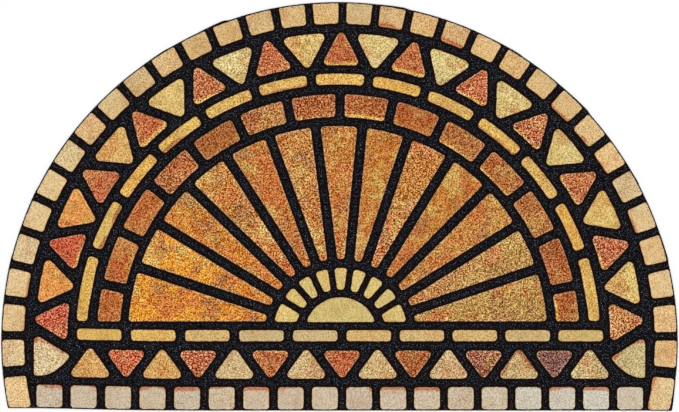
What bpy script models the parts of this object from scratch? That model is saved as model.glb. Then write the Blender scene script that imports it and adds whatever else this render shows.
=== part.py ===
"""Half-round doormat: crumb rubber, moulded in one piece, with raised flocked tiles.

Metres, +Z up. The mat lies flat on z = 0, with its middle at the origin and its arch towards +Y.
"""
from collections import namedtuple
from math import asin, atan2, ceil, cos, degrees, dist, exp, hypot, pi, radians, sin, tan

import bmesh
import bpy

# Outline: one arc, cut off by a straight edge a little below the arc's centre
ARCH_RADIUS = 0.3810
EDGE_BELOW_CENTRE = 0.0786
ARCH_STEPS = 90
EDGE_STEPS = 24

# Section: the floor of the grooves, the faces of the tiles, and the slope of the tiles' walls
FLOOR_HEIGHT = 0.0050
TILE_HEIGHT = 0.0080
WALL_SLOPE_OUT = 0.0005

# Tile outlines: the longest straight run on a curved side, the steps of arcs and corners, and the
# largest share of a side that the rounding of one corner takes
ARC_RUN = 0.0150
BASE_STEPS = 2
SUN_STEPS = 18
SQUARE_CORNER_STEPS = 2
SHARP_CORNER_STEPS = 3
LEAST_CORNER_TURN = 12.0
CORNER_SHARE = 0.49

# The pattern's small unevenness: turned as a whole, and closest together a little right of the top
PATTERN_TURN = -0.3
CLOSEST_AT = 82.0

# The mould's own unevenness. The arches are a little taller than round. The rim and the squares in it
# swell left of the top and are hollow on the right. The squares have drifted along the rim on the
# left. The straight edge bends up towards the left corner. Angles in degrees.
ARCH_RISE = 0.0025
Swell = namedtuple("Swell", "height at width")
SWELLS = (Swell(0.0008, 105.0, 16.0), Swell(-0.0009, 34.0, 24.0))
SWELL_FROM = 0.3520
DRIFT_AT = 134.0
DRIFT_WIDTH = 20.0
RIM_MARGIN = 0.0013
BEND = 0.0028
BEND_START = -0.1500
BEND_END = -0.3300

# Tiles that follow the arch. Radii run from the ring's own centre, which stands "lift" above the
# arch's centre and "shift" to the right of it. "pitch" and "crowd" are in degrees. "foot" is the
# straight line that cuts off the ring's two ends, above the arch's centre, and "end_gap" is how much
# wider, in degrees, the grooves before the two end tiles are. "tips" is the inner arc's own centre,
# as its shift and lift, where it has one, and "drift" how far, in degrees, tiles have drifted.
Ring = namedtuple("Ring", "count inner outer pitch groove corner lift shift crowd foot end_gap tone"
                  " tips drift", defaults=(None, 0.0))
RINGS = {
    "short bricks": Ring(9, 0.0516, 0.0762, 16.75, 0.0072, 0.0020, 0.0058, 0.0010, 0.00, 0.0212, 0, "straw"),
    "rays": Ring(13, 0.0854, 0.2360, 12.97, 0.0113, 0.0030, 0.0052, -0.0022, 0.35, 0.0218, 0, "amber",
                 tips=(0.0010, 0.0064)),
    "bricks": Ring(14, 0.2458, 0.2715, 12.99, 0.0107, 0.0030, 0.0055, -0.0014, 0.46, 0.0218, 0, "brick"),
    "bars": Ring(13, 0.2826, 0.2949, 13.01, 0.0104, 0.0030, 0.0052, -0.0016, 0.52, 0.0222, 0, "sand"),
    "squares": Ring(34, 0.3550, 0.3800, 5.95, 0.0092, 0.0030, 0.0006, 0.0000, 0.79, -0.0776, 0.4, "cream",
                    drift=0.22),
}

# The zigzag of triangles: red ones stand on its inner side, pale ones on its outer side.
# "half" is half of a triangle's base, in degrees.
Zigzag = namedtuple("Zigzag", "base point half tone")
ZIGZAG_STEPS = 25
ZIGZAG_PITCH = 7.233
ZIGZAG_LIFT = 0.0041
ZIGZAG_SHIFT = -0.0008
ZIGZAG_CROWD = 0.60
TRIANGLE_CORNER = 0.0047
ZIGZAG_RED = Zigzag(0.3055, 0.3475, 4.32, "red")
ZIGZAG_PALE = Zigzag(0.3417, 0.3009, 4.60, "straw")

# The zigzag's two corner pieces: how far out, up from and down from the arch's centre they reach
CORNER_PIECE_OUT = 0.3440
CORNER_PIECE_IN = {1: 0.3052, -1: 0.3026}
CORNER_PIECE_TOP = 0.0055
CORNER_PIECE_NOSE = -0.0190
CORNER_PIECE_FOOT = -0.0416
CORNER_PIECE_BELLY = {1: 0.0068, -1: 0.0078}
CORNER_PIECE_STEPS = 10

# The half sun on the foot line
SUN_RADIUS = 0.0408
SUN_CENTRE_X = 0.0013
SUN_CENTRE_Y = 0.0083
SUN_FOOT = 0.0210
SUN_CORNER = 0.0030

# Rows along the straight edge, measured from the arch's centre. "half" is half of a tile's width,
# "base" is the height of a triangle's full width, and "far" that of its point. A block has two bases.
# The tiles crowd outwards from the middle of a row by up to ROW_CROWD.
Row = namedtuple("Row", "count pitch half base far tone")
ROW_SHIFT = 0.0016
ROW_CROWD = 0.0013
ROW_REACH = 0.3300
ROW_CORNER = 0.0030
BLOCK_ROWS = {
    "bars": Row(10, 0.0602, 0.0251, -0.0006, 0.0121, "sand"),
    "squares": Row(18, 0.03845, 0.0146, -0.0776, -0.0520, "stone"),
}
TRIANGLE_ROWS = {
    "pale triangles": Row(8, 0.0803, 0.0258, -0.0427, -0.0069, "straw"),
    "red triangles": Row(7, 0.0803, 0.0246, -0.0110, -0.0444, "red"),
}

# Finishes: the mean print colour of each kind of tile, as sRGB hex
RUBBER = ("black crumb rubber", "1C1F24", 0.75)
TONES = {
    "straw": ("straw flock", "C9B078", 0.95),
    "amber": ("amber flock", "B97E48", 0.95),
    "brick": ("brick flock", "AC6A41", 0.95),
    "sand": ("sand flock", "C6A462", 0.95),
    "cream": ("cream flock", "CBB080", 0.95),
    "red": ("red flock", "B4694A", 0.95),
    "stone": ("stone flock", "BFAD96", 0.95),
}


def linear(channel):
    """One sRGB channel, 0 to 1, as linear light."""
    return channel / 12.92 if channel <= 0.04045 else ((channel + 0.055) / 1.055) ** 2.4


def finish(name, colour, roughness):
    """A plain Principled material in one sRGB hex colour."""
    material = bpy.data.materials.new(name)
    material.use_nodes = True
    shader = material.node_tree.nodes["Principled BSDF"]
    rgb = [linear(int(colour[i:i + 2], 16) / 255) for i in (0, 2, 4)]
    shader.inputs["Base Color"].default_value = (*rgb, 1.0)
    shader.inputs["Roughness"].default_value = roughness
    shader.inputs["Metallic"].default_value = 0.0
    return material


def corner_turn(before, corner, after):
    """How sharply an outline turns at a corner, in degrees."""
    way_in = atan2(corner[1] - before[1], corner[0] - before[0])
    way_out = atan2(after[1] - corner[1], after[0] - corner[0])
    return degrees((way_out - way_in + pi) % (2 * pi) - pi)


def rounded(outline, radius, steps):
    """An anticlockwise outline with an arc in place of each sharp corner."""
    points = []
    for i, corner in enumerate(outline):
        before = outline[i - 1]
        after = outline[(i + 1) % len(outline)]
        turn = corner_turn(before, corner, after)
        if turn < LEAST_CORNER_TURN:
            points.append(corner)
            continue
        longest = CORNER_SHARE * min(dist(before, corner), dist(corner, after))
        back = min(radius * tan(radians(turn) / 2), longest)
        arc_radius = back / tan(radians(turn) / 2)
        heading = atan2(corner[1] - before[1], corner[0] - before[0])
        start = (corner[0] - back * cos(heading), corner[1] - back * sin(heading))
        centre = (start[0] - arc_radius * sin(heading), start[1] + arc_radius * cos(heading))
        for step in range(steps + 1):
            angle = heading - pi / 2 + radians(turn) * step / steps
            points.append((centre[0] + arc_radius * cos(angle), centre[1] + arc_radius * sin(angle)))
    return points


def widened(outline, distance):
    """An anticlockwise outline with every side moved outwards."""
    points = []
    for i, (x, y) in enumerate(outline):
        before = outline[i - 1]
        after = outline[(i + 1) % len(outline)]
        way_in = atan2(y - before[1], x - before[0])
        half_turn = radians(corner_turn(before, (x, y), after)) / 2
        normal = way_in + half_turn - pi / 2
        reach = distance / cos(half_turn)
        points.append((x + reach * cos(normal), y + reach * sin(normal)))
    return points


def bent(angle, crowd):
    """A direction of the even pattern, in degrees, where the uneven one has it, in radians."""
    return radians(angle + PATTERN_TURN + crowd * sin(2 * radians(CLOSEST_AT - angle)))


def arc(centre, radius, start, end, steps):
    """Points round an arc, both ends included."""
    angles = [start + (end - start) * step / steps for step in range(steps + 1)]
    return [(centre[0] + radius * cos(a), centre[1] + radius * sin(a)) for a in angles]


def side_arc(centre, radius, start, end):
    """A tile's curved side, with no straight run that is too long."""
    return arc(centre, radius, start, end, max(1, ceil(abs(end - start) * radius / ARC_RUN)))


def rim_radius(way):
    """How far out the rim lies in a direction, in degrees."""
    return ARCH_RADIUS + sum(s.height * exp(-((way - s.at) / s.width) ** 2) for s in SWELLS)


# The mat's middle is at the origin
ARCH_CENTRE_Y = (EDGE_BELOW_CENTRE - rim_radius(90)) / 2


def settled(x, y):
    """A point of the arches where the mould's unevenness puts it, at least a margin inside the rim."""
    y *= 1 + ARCH_RISE * (y > 0)
    way = degrees(atan2(y, x)) % 360
    out = hypot(x, y)
    swell = (rim_radius(way) - ARCH_RADIUS) * (out > SWELL_FROM)
    kept = min(out + swell, rim_radius(way) - RIM_MARGIN) / out
    return x * kept, y * kept


def edge_bend(x):
    """How much higher the straight edge, and a row along it, lie at a place."""
    reach = (x - BEND_START) / (BEND_END - BEND_START)
    return BEND * min(max(reach, 0), 1) ** 2


def tile_ends(ring, index, radius, lift):
    """The two directions, right then left, between which a ring's tile stands at a radius."""
    middle = 90 + (index - (ring.count - 1) / 2) * ring.pitch
    middle += ring.drift * exp(-((middle - DRIFT_AT) / DRIFT_WIDTH) ** 2)
    half = ring.pitch / 2 - degrees(asin(ring.groove / 2 / radius))
    left_foot = ring.foot + (BEND if ring.foot < 0 else 0)
    right = bent(middle - half, ring.crowd)
    left = bent(middle + half, ring.crowd)
    if index == 0:
        right = asin((ring.foot - lift) / radius)
        left -= radians(ring.end_gap)
    if index == ring.count - 1:
        right += radians(ring.end_gap)
        left = pi - asin((left_foot - lift) / radius)
    return right, left


def ring_tile(ring, index):
    """The outline of one tile of a ring: two arcs, joined by straight sides."""
    centre = (ring.shift, ring.lift)
    right, left = tile_ends(ring, index, ring.outer, ring.lift)
    outer_side = side_arc(centre, ring.outer, right, left)
    centre = ring.tips or centre
    right, left = tile_ends(ring, index, ring.inner, centre[1])
    inner_side = side_arc(centre, ring.inner, left, right)
    outline = rounded(outer_side + inner_side, ring.corner, SQUARE_CORNER_STEPS)
    return [settled(x, y) for x, y in outline]


def zigzag_tile(kind, step):
    """The outline of one triangle of the zigzag, with its base curved as the arch is."""
    middle = 90 + (step - (ZIGZAG_STEPS - 1) / 2) * ZIGZAG_PITCH
    centre = (ZIGZAG_SHIFT, ZIGZAG_LIFT)
    right = bent(middle - kind.half, ZIGZAG_CROWD)
    left = bent(middle + kind.half, ZIGZAG_CROWD)
    point_way = bent(middle, ZIGZAG_CROWD)
    point = (centre[0] + kind.point * cos(point_way), centre[1] + kind.point * sin(point_way))
    if kind.point > kind.base:
        base = arc(centre, kind.base, left, right, BASE_STEPS)
    else:
        base = arc(centre, kind.base, right, left, BASE_STEPS)
    return [settled(x, y) for x, y in rounded(base + [point], TRIANGLE_CORNER, SHARP_CORNER_STEPS)]


def corner_piece(side):
    """The zigzag's piece in a corner of the mat; side is 1 on the right and -1 on the left.

    Its lower side bellies out as a parabola between the nose and the foot.
    """
    nose = CORNER_PIECE_IN[side]
    outline = [(side * CORNER_PIECE_OUT, CORNER_PIECE_TOP)]
    for step in range(CORNER_PIECE_STEPS + 1):
        along = step / CORNER_PIECE_STEPS
        x = nose + (CORNER_PIECE_OUT - nose) * along
        y = CORNER_PIECE_NOSE + (CORNER_PIECE_FOOT - CORNER_PIECE_NOSE) * along
        outline.append((side * x, y - CORNER_PIECE_BELLY[side] * 4 * along * (1 - along)))
    outline = rounded(outline if side > 0 else outline[::-1], TRIANGLE_CORNER, SHARP_CORNER_STEPS)
    return [(x, y + edge_bend(x)) for x, y in outline]


def sun():
    """The half sun: an arc that stands on its foot line."""
    foot = asin((SUN_FOOT - SUN_CENTRE_Y) / SUN_RADIUS)
    outline = arc((SUN_CENTRE_X, SUN_CENTRE_Y), SUN_RADIUS, foot, pi - foot, SUN_STEPS)
    return rounded(outline, SUN_CORNER, SHARP_CORNER_STEPS)


def row_middles(row):
    """Where the tiles of a straight row stand along it."""
    even = [(i - (row.count - 1) / 2) * row.pitch for i in range(row.count)]
    return [ROW_SHIFT + x + ROW_CROWD * cos(pi * x / ROW_REACH) for x in even]


def block(row, x):
    """The outline of an oblong tile of a straight row."""
    outline = [(x - row.half, row.base), (x + row.half, row.base),
               (x + row.half, row.far), (x - row.half, row.far)]
    return [(px, py + edge_bend(px)) for px, py in rounded(outline, ROW_CORNER, SQUARE_CORNER_STEPS)]


def row_triangle(row, x):
    """The outline of a triangular tile of a straight row."""
    outline = [(x - row.half, row.base), (x + row.half, row.base), (x, row.far)]
    if row.far < row.base:
        outline.reverse()
    return [(px, py + edge_bend(px)) for px, py in rounded(outline, TRIANGLE_CORNER, SHARP_CORNER_STEPS)]


def tiles():
    """Every tile of the mat, as its tone and its outline about the arch's centre."""
    found = [("straw", sun())]
    for ring in RINGS.values():
        found += [(ring.tone, ring_tile(ring, index)) for index in range(ring.count)]
    for step in range(ZIGZAG_STEPS):
        kind = ZIGZAG_RED if step % 2 == 0 else ZIGZAG_PALE
        found.append((kind.tone, zigzag_tile(kind, step)))
    found += [(ZIGZAG_PALE.tone, corner_piece(side)) for side in (1, -1)]
    for row in BLOCK_ROWS.values():
        found += [(row.tone, block(row, x)) for x in row_middles(row)]
    for row in TRIANGLE_ROWS.values():
        found += [(row.tone, row_triangle(row, x)) for x in row_middles(row)]
    return found


def mat_outline():
    """The edge of the mat about the arch's centre: the arc, closed by the straight edge."""
    right = -degrees(asin(EDGE_BELOW_CENTRE / ARCH_RADIUS))
    left = 180 + degrees(asin((EDGE_BELOW_CENTRE - BEND) / ARCH_RADIUS))
    points = []
    for step in range(ARCH_STEPS + 1):
        way = right + (left - right) * step / ARCH_STEPS
        points.append((rim_radius(way) * cos(radians(way)), rim_radius(way) * sin(radians(way))))
    start = points[-1][0]
    end = points[0][0]
    for step in range(1, EDGE_STEPS):
        x = start + (end - start) * step / EDGE_STEPS
        points.append((x, edge_bend(x) - EDGE_BELOW_CENTRE))
    return points


def add_loop(bm, outline, height):
    """A closed loop of points at one height, with the arch's centre put in its place."""
    return [bm.verts.new((x, y + ARCH_CENTRE_Y, height)) for x, y in outline]


def add_walls(bm, lower, upper):
    """Faces between two loops that run the same way."""
    for i in range(len(lower)):
        j = (i + 1) % len(lower)
        bm.faces.new((lower[i], lower[j], upper[j], upper[i]))


def loop_edges(bm, loop):
    """The edges round a loop, made where they are missing."""
    pairs = zip(loop, loop[1:] + loop[:1])
    return [bm.edges.get(pair) or bm.edges.new(pair) for pair in pairs]


def mat_mesh(tone_slots):
    """The closed body: underside, rim, groove floor, and the walls and faces of the tiles."""
    bm = bmesh.new()
    outline = mat_outline()
    underside = add_loop(bm, outline, 0.0)
    rim = add_loop(bm, outline, FLOOR_HEIGHT)
    add_walls(bm, underside, rim)
    bm.faces.new(underside[::-1])
    floor_edges = loop_edges(bm, rim)
    for tone, outline in tiles():
        lower = add_loop(bm, widened(outline, WALL_SLOPE_OUT), FLOOR_HEIGHT)
        upper = add_loop(bm, outline, TILE_HEIGHT)
        add_walls(bm, lower, upper)
        face = bm.faces.new(upper)
        face.material_index = tone_slots[tone]
        floor_edges += loop_edges(bm, lower)
    bmesh.ops.triangle_fill(bm, use_beauty=True, use_dissolve=False, edges=floor_edges, normal=(0, 0, 1))
    bmesh.ops.triangulate(bm, faces=bm.faces[:])
    bmesh.ops.recalc_face_normals(bm, faces=bm.faces[:])
    mesh = bpy.data.meshes.new("mat")
    bm.to_mesh(mesh)
    bm.free()
    return mesh


def clear_scene():
    """Removes what a new scene holds."""
    for thing in list(bpy.data.objects):
        bpy.data.objects.remove(thing, do_unlink=True)


def main():
    clear_scene()
    tone_slots = {tone: slot for slot, tone in enumerate(TONES, start=1)}
    mesh = mat_mesh(tone_slots)
    mesh.materials.append(finish(*RUBBER))
    for tone in TONES.values():
        mesh.materials.append(finish(*tone))
    mat = bpy.data.objects.new("mat", mesh)
    bpy.context.collection.objects.link(mat)


main()
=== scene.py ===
"""Half-round doormat: black crumb rubber with raised tiles of printed flock, and its stage.

Metres, +Z up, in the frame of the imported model. Outlines are laid out about the arch's centre.
"""

from collections import namedtuple
from functools import partial
from math import asin, atan2, ceil, cos, degrees, dist, exp, hypot, pi, radians, sin, tan

import bpy
import numpy as np
from bpy.props import FloatProperty, FloatVectorProperty, IntProperty, PointerProperty
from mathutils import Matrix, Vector, noise
from mathutils.geometry import delaunay_2d_cdt
from mathutils.kdtree import KDTree


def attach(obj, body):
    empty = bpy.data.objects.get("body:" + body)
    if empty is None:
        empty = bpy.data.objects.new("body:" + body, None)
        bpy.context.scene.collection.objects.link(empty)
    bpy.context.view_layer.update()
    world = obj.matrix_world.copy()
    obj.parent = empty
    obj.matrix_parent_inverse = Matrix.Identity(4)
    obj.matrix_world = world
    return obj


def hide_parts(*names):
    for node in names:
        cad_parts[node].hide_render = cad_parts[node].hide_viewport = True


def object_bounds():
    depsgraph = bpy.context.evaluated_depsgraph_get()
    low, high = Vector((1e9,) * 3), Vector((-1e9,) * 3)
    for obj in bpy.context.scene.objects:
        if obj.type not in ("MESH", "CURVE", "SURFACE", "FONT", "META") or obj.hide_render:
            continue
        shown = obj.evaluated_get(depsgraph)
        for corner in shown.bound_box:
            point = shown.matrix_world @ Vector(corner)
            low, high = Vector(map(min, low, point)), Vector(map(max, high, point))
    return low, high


bl_info = {
    "name": "Half-round mosaic doormat",
    "version": (1, 0, 0),
    "blender": (4, 5, 0),
    "location": "View3D > Sidebar > Doormat",
    "description": "Builds a half-round crumb-rubber doormat with printed flock tiles",
    "category": "Add Mesh",
}

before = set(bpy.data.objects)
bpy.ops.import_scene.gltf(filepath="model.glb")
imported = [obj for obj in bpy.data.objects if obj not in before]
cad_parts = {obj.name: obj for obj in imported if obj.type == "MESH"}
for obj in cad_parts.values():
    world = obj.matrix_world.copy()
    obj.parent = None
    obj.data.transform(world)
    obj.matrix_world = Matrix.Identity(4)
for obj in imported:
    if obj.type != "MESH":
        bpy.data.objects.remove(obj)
CAD_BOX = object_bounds()
MM = 0.001

# Outline: one arc, cut off by a straight edge below the arc's centre
ARCH_RADIUS = 0.381
EDGE_BELOW_CENTRE = 0.0786
ARCH_CENTRE_Y = CAD_BOX[0][1] + EDGE_BELOW_CENTRE
ARCH_STEPS = 720
EDGE_STEPS = 24

# The pattern's small unevenness: turned as a whole, and closest together a little right of the top
PATTERN_TURN = -0.3
CLOSEST_AT = 82.0

# The mould's own unevenness. The arches are a little taller than round. The rim, and tiles further out
# than SWELL_FROM, swell left of the top and are hollow on the right, and tiles keep RIM_MARGIN from the
# rim. Its squares have drifted on the left. The straight edge bends up towards the left corner. Angles
# are in degrees, and a swell is its height, its place and its width.
ARCH_RISE = 0.0025
SWELLS = ((0.0008, 105.0, 16.0), (-0.0009, 34.0, 24.0))
SWELL_FROM = 0.352
DRIFT_AT = 134.0
DRIFT_WIDTH = 20.0
RIM_MARGIN = 0.0014
BEND = 0.0028
BEND_START = -0.15
BEND_END = -0.33

# Tile outlines: the longest straight run on a curved side, and the steps of a triangle's base, of the sun
# and of a rounded corner. A corner takes CORNER_SHARE of its sides at most, and a turn of less than
# LEAST_CORNER_TURN degrees isn't one. TOP is the direction of the arch's top, in degrees.
TOP = 90
ARC_RUN = 0.015
BASE_STEPS = 2
SUN_STEPS = 18
CORNER_STEPS = 6
CORNER_SHARE = 0.49
LEAST_CORNER_TURN = 12.0

# Tiles that follow the arch. Angles are in degrees. Radii run from the ring's own centre, "lift" above
# the arch's and "shift" to the right of it. "foot" is the height of the line that cuts off the ring's two
# ends, and "end_gap" how much wider the grooves before the end tiles are. "tips" is the inner arc's own
# centre, as its shift and lift, where it has one, and "drift" how far tiles have drifted at most.
Ring = namedtuple("Ring", "count inner outer pitch groove corner lift shift crowd foot end_gap tips"
                  " drift", defaults=(None, 0.0))
RINGS = {
    "short_bricks": Ring(9, 0.0516, 0.0762, 16.75, 0.0072, 0.003, 0.0058, 0.001, 0.0, 0.0212, 0),
    "rays": Ring(13, 0.0854, 0.236, 12.97, 0.0113, 0.003, 0.0052, -0.0022, 0.35, 0.0218, 0,
                 tips=(0.001, 0.0064)),
    "bricks": Ring(14, 0.2458, 0.2715, 12.99, 0.0107, 0.003, 0.0055, -0.0014, 0.46, 0.0218, 0),
    "bars": Ring(13, 0.2826, 0.2949, 13.01, 0.0104, 0.0036, 0.0052, -0.0016, 0.52, 0.0222, 0),
    "squares": Ring(34, 0.355, 0.3798, 5.95, 0.0092, 0.003, 0.0006, 0.0, 0.79, -0.0776, 0.4,
                    drift=0.22),
}

# The zigzag of triangles: red ones stand on its inner side, pale ones on its outer side.
# "half" is half of a triangle's base, in degrees, and "first" the first step that it takes.
Zigzag = namedtuple("Zigzag", "first base point half")
ZIGZAGS = {
    "zigzag_red": Zigzag(0, 0.3055, 0.3475, 4.32),
    "zigzag_pale": Zigzag(1, 0.3417, 0.3009, 4.6),
}
ZIGZAG_STEPS = 25
ZIGZAG_PITCH = 7.233
ZIGZAG_LIFT = 0.0041
ZIGZAG_SHIFT = -0.0008
ZIGZAG_CROWD = 0.6
TRIANGLE_CORNER = 0.0047

# The zigzag's two corner pieces: how far out they reach and how far in, on the right (1) and the left
# (-1), the heights of their top, nose and foot above the arch's centre, and the belly of their lower side
CORNER_PIECE_OUT = 0.344
CORNER_PIECE_IN = {1: 0.3052, -1: 0.3026}
CORNER_PIECE_TOP = 0.0055
CORNER_PIECE_NOSE = -0.019
CORNER_PIECE_FOOT = -0.0416
CORNER_PIECE_BELLY = {1: 0.0068, -1: 0.0078}
CORNER_PIECE_STEPS = 10

# The half sun on the foot line
SUN_RADIUS = 0.0408
SUN_CENTRE_X = 0.0013
SUN_CENTRE_Y = 0.0083
SUN_FOOT = 0.021
SUN_CORNER = 0.003

# Rows along the straight edge, measured from the arch's centre. "half" is half of a tile's width,
# "base" and "far" are the heights of its base and of its other side, or of its point if it is "pointed".
# The tiles in the middle lie ROW_CROWD further right, and those ROW_REACH out as much further left.
Row = namedtuple("Row", "count pitch half base far pointed")
ROWS = {
    "foot_bars": Row(10, 0.0602, 0.0251, -0.0006, 0.0121, False),
    "foot_pale": Row(8, 0.0803, 0.0258, -0.0427, -0.0069, True),
    "foot_red": Row(7, 0.0803, 0.0246, -0.011, -0.0444, True),
    "foot_squares": Row(18, 0.03845, 0.0146, -0.0772, -0.052, False),
}
ROW_SHIFT = 0.0016
ROW_CROWD = 0.0013
ROW_REACH = 0.33
ROW_CORNER = 0.0036

# Small lumps that the mould left on the rim, and one that fills out the lower right corner: height by
# direction, in degrees, and over how many degrees a lump rises and falls
RIM_LUMPS = {-12: 0.0016, 14: 0.0008, 28: 0.0005, 43: 0.0011, 58: 0.0007, 79: 0.0011, 110: 0.0018,
             121: 0.0006, 154: 0.0005, 166: 0.0005}
LUMP_RISE = 1.0
LUMP_FALL = 5.0

# The print's inks, as sRGB hex
INKS = {
    "straw": "D5BF7A",
    "gold": "DCAB50",
    "orange_gold": "CC8A3A",
    "apricot": "D9A562",
    "peach": "DF8D4C",
    "sand_gold": "D2AA5E",
    "orange": "DB8D1C",
    "amber": "B3702A",
    "gold_brown": "AD8543",
    "orange_rust": "B45522",
    "rust": "9D4C1F",
    "red_brown": "A15A2A",
    "clay": "B56A38",
    "brick_red": "BA5032",
    "crimson": "B84A2E",
    "plum": "744A42",
    "khaki_gold": "C0AE7C",
    "pale_straw": "D4C082",
    "tan": "C9AF80",
    "golden_peach": "E4B87B",
    "cream": "DDC69A",
    "beige": "CAB9A2",
    "grey_cream": "C9C5B6",
}

# The print of each kind of tile, in those inks. "left", "middle" and "right" are its tones across the
# mat. By chance a tile takes up to "spread" of its "accent", and
# up to "run" of its "sunny" ink at the end that faces the sun. "strips" is the share of tiles with a
# strip of "strip" ink along that end, where the print lies a little off the moulding. "mottle" is how
# strongly the flecks differ, as a share of the display's range, and "patch" how strongly larger patches
# do. A kind that has no sunny ink or no strips leaves them out.
Print = namedtuple("Print", "left middle right accent spread mottle patch sunny run strip strips",
                   defaults=("gold", 0.0, "gold", 0.0))
PRINTS = {
    "sun": Print("straw", "straw", "straw", "gold", 0.0, 0.045, 0.15),
    "short_bricks": Print("straw", "straw", "straw", "gold", 0.3, 0.043, 0.1, "gold", 0.1, "gold", 0.1),
    "rays": Print("orange", "amber", "gold_brown", "orange_gold", 0.3, 0.108, 0.7, "orange_rust", 0.8),
    "bricks": Print("orange_rust", "rust", "rust", "gold_brown", 0.3, 0.103, 0.35, "orange_gold", 0.5,
                    "gold", 0.2),
    "bars": Print("gold", "gold", "gold", "straw", 0.4, 0.064, 0.25, strip="rust", strips=0.3),
    "zigzag_red": Print("brick_red", "clay", "clay", "crimson", 0.4, 0.113, 0.3, "rust", 0.2, "gold", 0.85),
    "zigzag_pale": Print("peach", "pale_straw", "straw", "gold", 0.4, 0.074, 0.4, "gold_brown", 0.4),
    "corner_pieces": Print("cream", "cream", "khaki_gold", "khaki_gold", 0.5, 0.07, 0.1,
                           strip="orange_rust", strips=1.0),
    "squares": Print("cream", "tan", "cream", "golden_peach", 0.7, 0.05, 0.2, "gold", 0.2,
                     "orange_rust", 0.25),
    "foot_bars": Print("sand_gold", "tan", "khaki_gold", "gold", 0.4, 0.045, 0.12),
    "foot_pale": Print("apricot", "tan", "khaki_gold", "gold_brown", 0.3, 0.089, 0.33, "tan", 0.2,
                       "rust", 0.1),
    "foot_red": Print("orange_rust", "red_brown", "plum", "crimson", 0.5, 0.12, 0.25, "rust", 0.2,
                      "gold", 0.2),
    "foot_squares": Print("beige", "beige", "grey_cream", "tan", 0.4, 0.04, 0.12, "tan", 0.1,
                          "orange_rust", 0.45),
}

# Where the tone changes from left to middle to right: -1 is far left and 1 far right. A tile of a straight
# row is far right at ROW_TONES from the middle, and its sun is straight up. Lightness and mottle differ
# a little from tile to tile.
TONE_PLACES = (-0.9, -0.65, 0.65, 0.9)
STRAIGHT_KINDS = (*ROWS, "corner_pieces")
ROW_TONES = 0.21
LIGHTNESS_SPREAD = 0.03
MOTTLE_SPREAD = 0.22

# A strip: how wide it is, how softly it ends, the noise that makes it come and go, how strongly it
# covers, and how squarely, 0 to 1, an edge has to face the sun to have one
STRIP_REACH = (0.002, 0.0046)
STRIP_EDGE = 0.0007
STRIP_CELL = 0.022
STRIP_STARTS = (-0.5, 0.1)
STRIP_SHARE = 0.8
FACES_SUN = 0.55

# The sunny ink: where along a tile, 0 to 1, it begins, and how far and in what cells it runs to and fro
SUNNY_FROM = 0.35
INK_RUN = 0.22
INK_RUN_CELL = 0.012

# Patches: the cells of their coarse and fine noise, the share of the fine, and where they begin and end
PATCH_CELL = 0.026
FINE_PATCH_CELL = 0.0065
FINE_PATCH = 0.7
PATCH_EDGE = (0.05, 0.6)

# How much of a tile's surface is printed, from its foot over its edge to its face; the paler edge is partly
# painted highlight
FOOT_COVER_AND_HIGHLIGHT = 0.45
EDGE_COVER_AND_HIGHLIGHT = 0.64
NEAR_EDGE_COVER_AND_HIGHLIGHT = 0.86
FACE_BEGINS = 0.0026

# The flock's grain. Flecks and tufts lighten and darken the ink in equal steps of what the eye sees,
# so the ink is kept as it displays and turned back into light last. Bare flock shines out of a strong
# ink more than out of a pale one, so a pale fleck reaches PALE_STEPS up, and PALE_RISE times the mottle.
# The noise lies round NOISE_MIDDLE, and FLECK_GAIN is how many steps it takes from 0 to 1.
FLECK_CELL = 1.6 * MM
TUFT_CELL = 1.0 * MM
TUFT_SHARE = 0.42
FLECK_GAIN = 15.5
FLECK_LIMITS = (-3.0, 3.0)
PALE_STEPS = 1.0
PALE_RISE = 14.0
NOISE_MIDDLE = 0.5
DISPLAY_GAMMA = 2.2

# The rubber: its crumbs, the noise at which they begin and are fully light, their tint, how far from a
# wall the painted shade at the tiles' feet, brown from ink as well, fades to black, and how brown the rim
# is
CRUMB_CELL = 1.3 * MM
CRUMB_LIGHT = (0.56, 0.82)
CRUMB_TINT = 0.3
WALL_SHADE_FADE = (1.4 * MM, 3.8 * MM)
RIM_BROWN = 0.5

# The floor: the dimples of its paint and their tones, and its rounded edge, as a share of its thickness
PEEL_CELL = 4.0 * MM
PEEL_TONES = (0.985, 1.0)
FLOOR_BEVEL = 0.25
FLOOR_BEVEL_STEPS = 2

# The steps of a tile's rounded edge, in degrees from upright, and how far in the crown reaches its height
EDGE_TURNS = (0, 35, 65, 90)
CROWN_RUN = 0.006

# Meshes: the fewest points round an outline, how often a tile's is smoothed, how far the points of a face
# are shaken and how near they come to its outline, in cells, within what distance points are one, from
# how many degrees an edge stays sharp, and what asks delaunay_2d_cdt for triangles inside outlines alone
LEAST_POINTS = 12
SMOOTHINGS = 2
JITTER = 0.3
LEAST_GAP = 0.55
SAME_POINT = 1e-7
SHARP_FROM = 60
FILL_INSIDE = 1

# Unevenness: the cells of the noise, and the share of its finer part or of plain chance
WOBBLE_CELL = 3.5 * MM
FINE_WOBBLE_CELL = 1.4 * MM
FINE_WOBBLE = 0.8
PEBBLE_CELL = 2.2 * MM
PEBBLE_CHANCE = 0.3
LUMP_CELL = 2.4 * MM
LUMP_CHANCE = 0.5
RIM_WOBBLE = 0.12 * MM
RIM_WOBBLE_CELL = 6.0 * MM

# Layers of the noise, one for each use, and the seeds of what is drawn by chance. A tile draws one of
# TILE_SEEDS, and its ink runs in the layer OWN_LAYER above that.
PEBBLE_LAYER = 3.5
WOBBLE_LAYER = 7.5
FINE_WOBBLE_LAYER = 8.5
RIM_LAYER = 9.5
LUMP_LAYER = 12.5
PATCH_LAYERS = (20.5, 23.5, 26.5)
STRIP_LAYER = 30.5
OWN_LAYER = 0.5
TILE_SEEDS = 1000
RUBBER_SEED = 40
LINT_SEED = 60

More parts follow.
